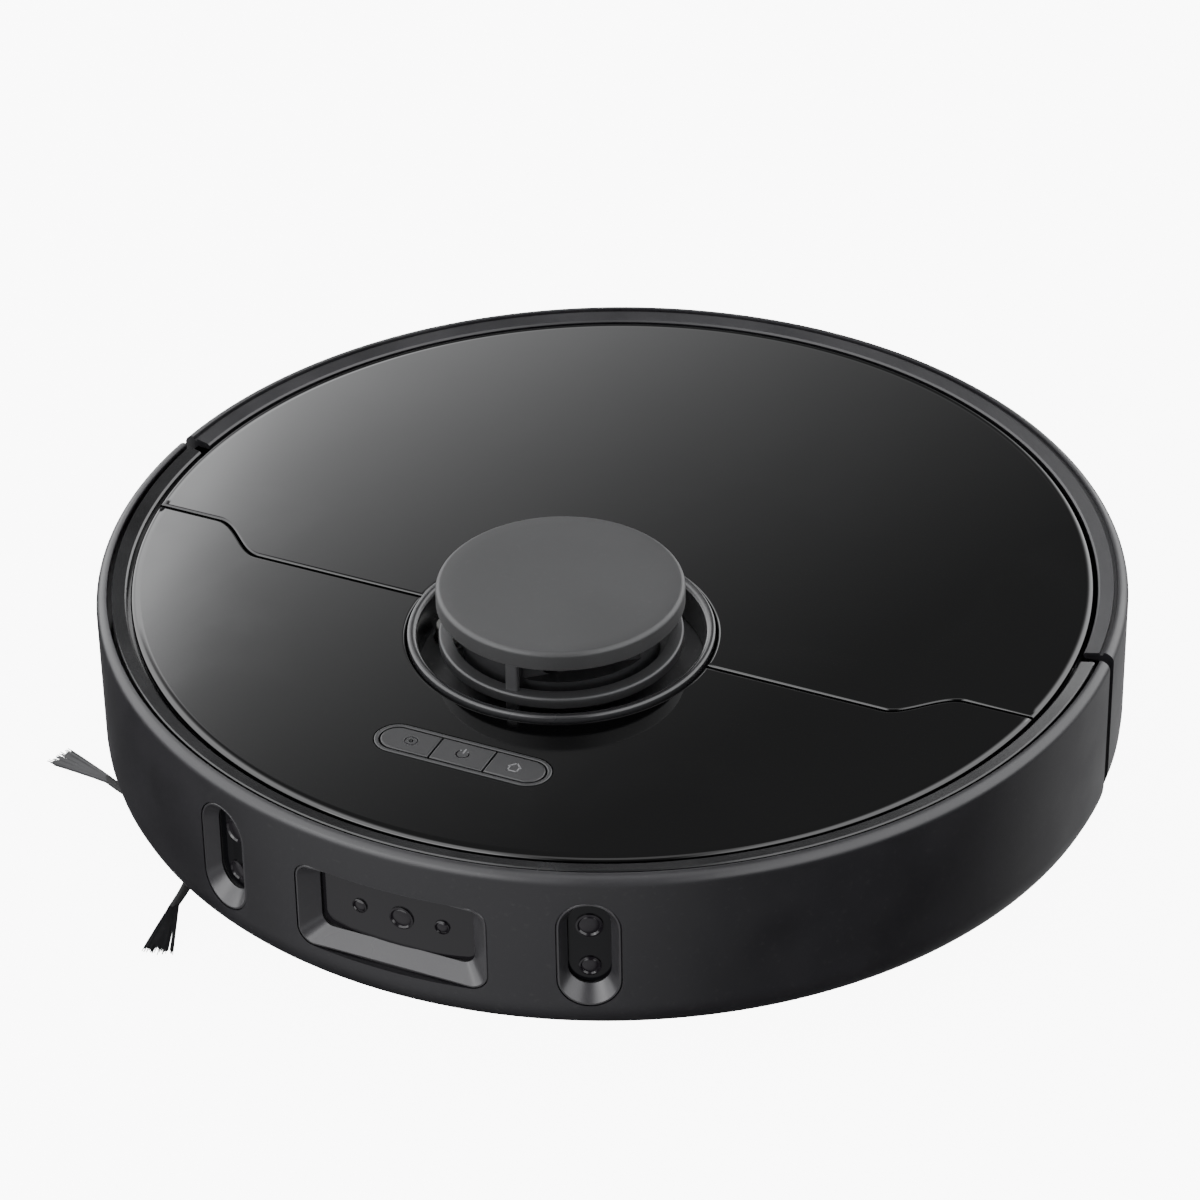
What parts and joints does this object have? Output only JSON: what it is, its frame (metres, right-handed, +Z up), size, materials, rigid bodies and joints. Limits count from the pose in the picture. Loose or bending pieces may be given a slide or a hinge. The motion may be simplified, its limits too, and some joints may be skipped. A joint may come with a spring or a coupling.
{
  "type": "robot vacuum",
  "caption": "Round low robot vacuum with a raised laser turret, glossy top with a rear lid over the dust bin, pill of keys, spring bumper with dark sensor windows, and a side brush.",
  "frame": {"origin": "on the body's vertical axis, at the floor the wheels stand on", "axes": "+Z up, the front with the bumper faces -Y, the robot's own left is +X"},
  "size_m": [0.3507, 0.35, 0.0968],
  "materials": {
    "shell_dark_grey": "fine-textured, satin",
    "gloss_black": "mirror gloss",
    "satin_ring_grey": "satin",
    "turret_cap_grey": "matte",
    "lidar_black": "matte",
    "tinted_window": "polished, dark tint",
    "dark_window": "polished",
    "bezel_grey": "satin",
    "key_grey": "satin",
    "black_plastic": "matte",
    "grey_plastic": "matte",
    "gearbox_grey": "matte",
    "guard_grey": "satin",
    "rubber": "matte",
    "brush_rubber": "matte",
    "bristle_black": "matte",
    "white_nylon": "satin",
    "steel": "zinc-plated",
    "contact_metal": "plated, polished",
    "smoked_bin": "smoked",
    "bin_cover": "satin",
    "filter_paper": "pleated paper",
    "battery_wrap": "shrink wrap",
    "circuit_board": "solder mask"
  },
  "bodies": {
    "chassis": {"bottom_case": "black_plastic", "rear_shell": "shell_dark_grey", "front_rim": "shell_dark_grey", "inner_deck": "black_plastic", "outlet_grille": "grey_plastic", "front_glass": "gloss_black", "well_ring": "satin_ring_grey", "turret_cage": "satin_ring_grey", "lidar_belt": "rubber", "lidar_motor": "steel", "button_bezel": "bezel_grey", "battery": "battery_wrap", "main_board": "circuit_board", "fan_housing": "grey_plastic", "bin_body": "smoked_bin", "bin_cover": "bin_cover", "bin_handle": "guard_grey", "bin_filter": "filter_paper", "brush_tunnel": "black_plastic", "brush_motor": "steel", "brush_bearing_left": "white_nylon", "brush_bearing_right": "white_nylon", "brush_gear_cover": "gearbox_grey", "side_gearbox": "gearbox_grey", "charging_contact_left": "contact_metal", "charging_contact_right": "contact_metal", "cliff_sensor_left_front": "dark_window", "cliff_sensor_left_side": "dark_window", "cliff_sensor_right_front": "dark_window", "cliff_sensor_right_side": "dark_window", "caster_socket": "black_plastic"},
    "bumper": {"bumper": "shell_dark_grey", "front_window": "tinted_window", "laser_window_left": "dark_window", "laser_window_right": "dark_window", "wall_sensor_window": "dark_window"},
    "lid": {"lid": "gloss_black", "lid_frame": "black_plastic"},
    "turret_cap": {"turret_cap": "turret_cap_grey"},
    "lidar_head": {"lidar_head": "lidar_black"},
    "motor_pulley": {"motor_pulley": "white_nylon"},
    "key_home": {"key_home": "key_grey"},
    "key_power": {"key_power": "key_grey"},
    "key_spot": {"key_spot": "key_grey"},
    "reset_button": {"reset_button": "key_grey"},
    "fan_impeller": {"fan_impeller": "grey_plastic"},
    "main_brush": {"main_brush": "brush_rubber"},
    "brush_guard": {"brush_guard": "guard_grey"},
    "side_brush": {"side_brush": "bristle_black"},
    "caster_fork": {"caster_fork": "black_plastic"},
    "caster_wheel": {"caster_wheel": "white_nylon"},
    "wheel_arm_left": {"wheel_arm_left": "gearbox_grey"},
    "wheel_arm_right": {"wheel_arm_right": "gearbox_grey"},
    "wheel_left": {"wheel_hub_left": "black_plastic", "tyre_left": "rubber"},
    "wheel_right": {"wheel_hub_right": "black_plastic", "tyre_right": "rubber"}
  },
  "joints": [
    {"name": "bumper_press", "type": "slide", "parent": "chassis", "child": "bumper", "axis": [0, 1, 0], "range_m": [0, 0.0012], "stiffness_N_per_m": 900, "springref_m": -0.0006},
    {"name": "lid_hinge", "type": "hinge", "parent": "chassis", "child": "lid", "pos_m": [0, -0.0315, 0.0759], "axis": [1, 0, 0], "range_deg": [0, 70]},
    {"name": "cap_press", "type": "slide", "parent": "chassis", "child": "turret_cap", "axis": [0, 0, -1], "range_m": [0, 0.0015], "stiffness_N_per_m": 700, "springref_m": -0.0006},
    {"name": "lidar_spin", "type": "hinge", "parent": "chassis", "child": "lidar_head", "pos_m": [0, -0.041, 0.0662], "axis": [0, 0, 1], "continuous": true},
    {"name": "motor_spin", "type": "hinge", "parent": "chassis", "child": "motor_pulley", "pos_m": [-0.04, -0.041, 0.0662], "axis": [0, 0, 1], "continuous": true},
    {"name": "home_press", "type": "slide", "parent": "chassis", "child": "key_home", "axis": [0, 0, -1], "range_m": [0, 0.0005], "stiffness_N_per_m": 900, "springref_m": -0.0004},
    {"name": "power_press", "type": "slide", "parent": "chassis", "child": "key_power", "axis": [0, 0, -1], "range_m": [0, 0.0005], "stiffness_N_per_m": 900, "springref_m": -0.0004},
    {"name": "spot_press", "type": "slide", "parent": "chassis", "child": "key_spot", "axis": [0, 0, -1], "range_m": [0, 0.0005], "stiffness_N_per_m": 900, "springref_m": -0.0004},
    {"name": "reset_press", "type": "slide", "parent": "chassis", "child": "reset_button", "axis": [0, 0, -1], "range_m": [0, 0.0008], "stiffness_N_per_m": 600, "springref_m": -0.0004},
    {"name": "fan_spin", "type": "hinge", "parent": "chassis", "child": "fan_impeller", "pos_m": [0.105, 0.08, 0.0195], "axis": [0, 0, 1], "continuous": true},
    {"name": "main_brush_spin", "type": "hinge", "parent": "chassis", "child": "main_brush", "pos_m": [0, 0.03, 0.0225], "axis": [1, 0, 0], "continuous": true},
    {"name": "guard_hinge", "type": "hinge", "parent": "chassis", "child": "brush_guard", "pos_m": [0, 0.0554, 0.0068], "axis": [1, 0, 0], "range_deg": [0, 60]},
    {"name": "side_brush_spin", "type": "hinge", "parent": "chassis", "child": "side_brush", "pos_m": [-0.11, -0.098, 0.009], "axis": [0, 0, 1], "continuous": true},
    {"name": "caster_swivel", "type": "hinge", "parent": "chassis", "child": "caster_fork", "pos_m": [0, -0.13, 0.0095], "axis": [0, 0, 1], "continuous": true},
    {"name": "caster_roll", "type": "hinge", "parent": "caster_fork", "child": "caster_wheel", "pos_m": [0, -0.125, 0.0105], "axis": [1, 0, 0], "continuous": true},
    {"name": "arm_left_swing", "type": "hinge", "parent": "chassis", "child": "wheel_arm_left", "pos_m": [0.10335, -0.046, 0.04], "axis": [1, 0, 0], "range_deg": [-20, 0], "stiffness_Nm_per_rad": 0.5, "springref_deg": -34.38},
    {"name": "arm_right_swing", "type": "hinge", "parent": "chassis", "child": "wheel_arm_right", "pos_m": [-0.10335, -0.046, 0.04], "axis": [1, 0, 0], "range_deg": [-20, 0], "stiffness_Nm_per_rad": 0.5, "springref_deg": -34.38},
    {"name": "wheel_left_roll", "type": "hinge", "parent": "wheel_arm_left", "child": "wheel_left", "pos_m": [0.124, 0, 0.029], "axis": [1, 0, 0], "continuous": true},
    {"name": "wheel_right_roll", "type": "hinge", "parent": "wheel_arm_right", "child": "wheel_right", "pos_m": [-0.124, 0, 0.029], "axis": [1, 0, 0], "continuous": true}
  ],
  "couplings": [
    {"joint": "motor_spin", "follows": "lidar_spin", "ratio": 5.6}
  ]
}
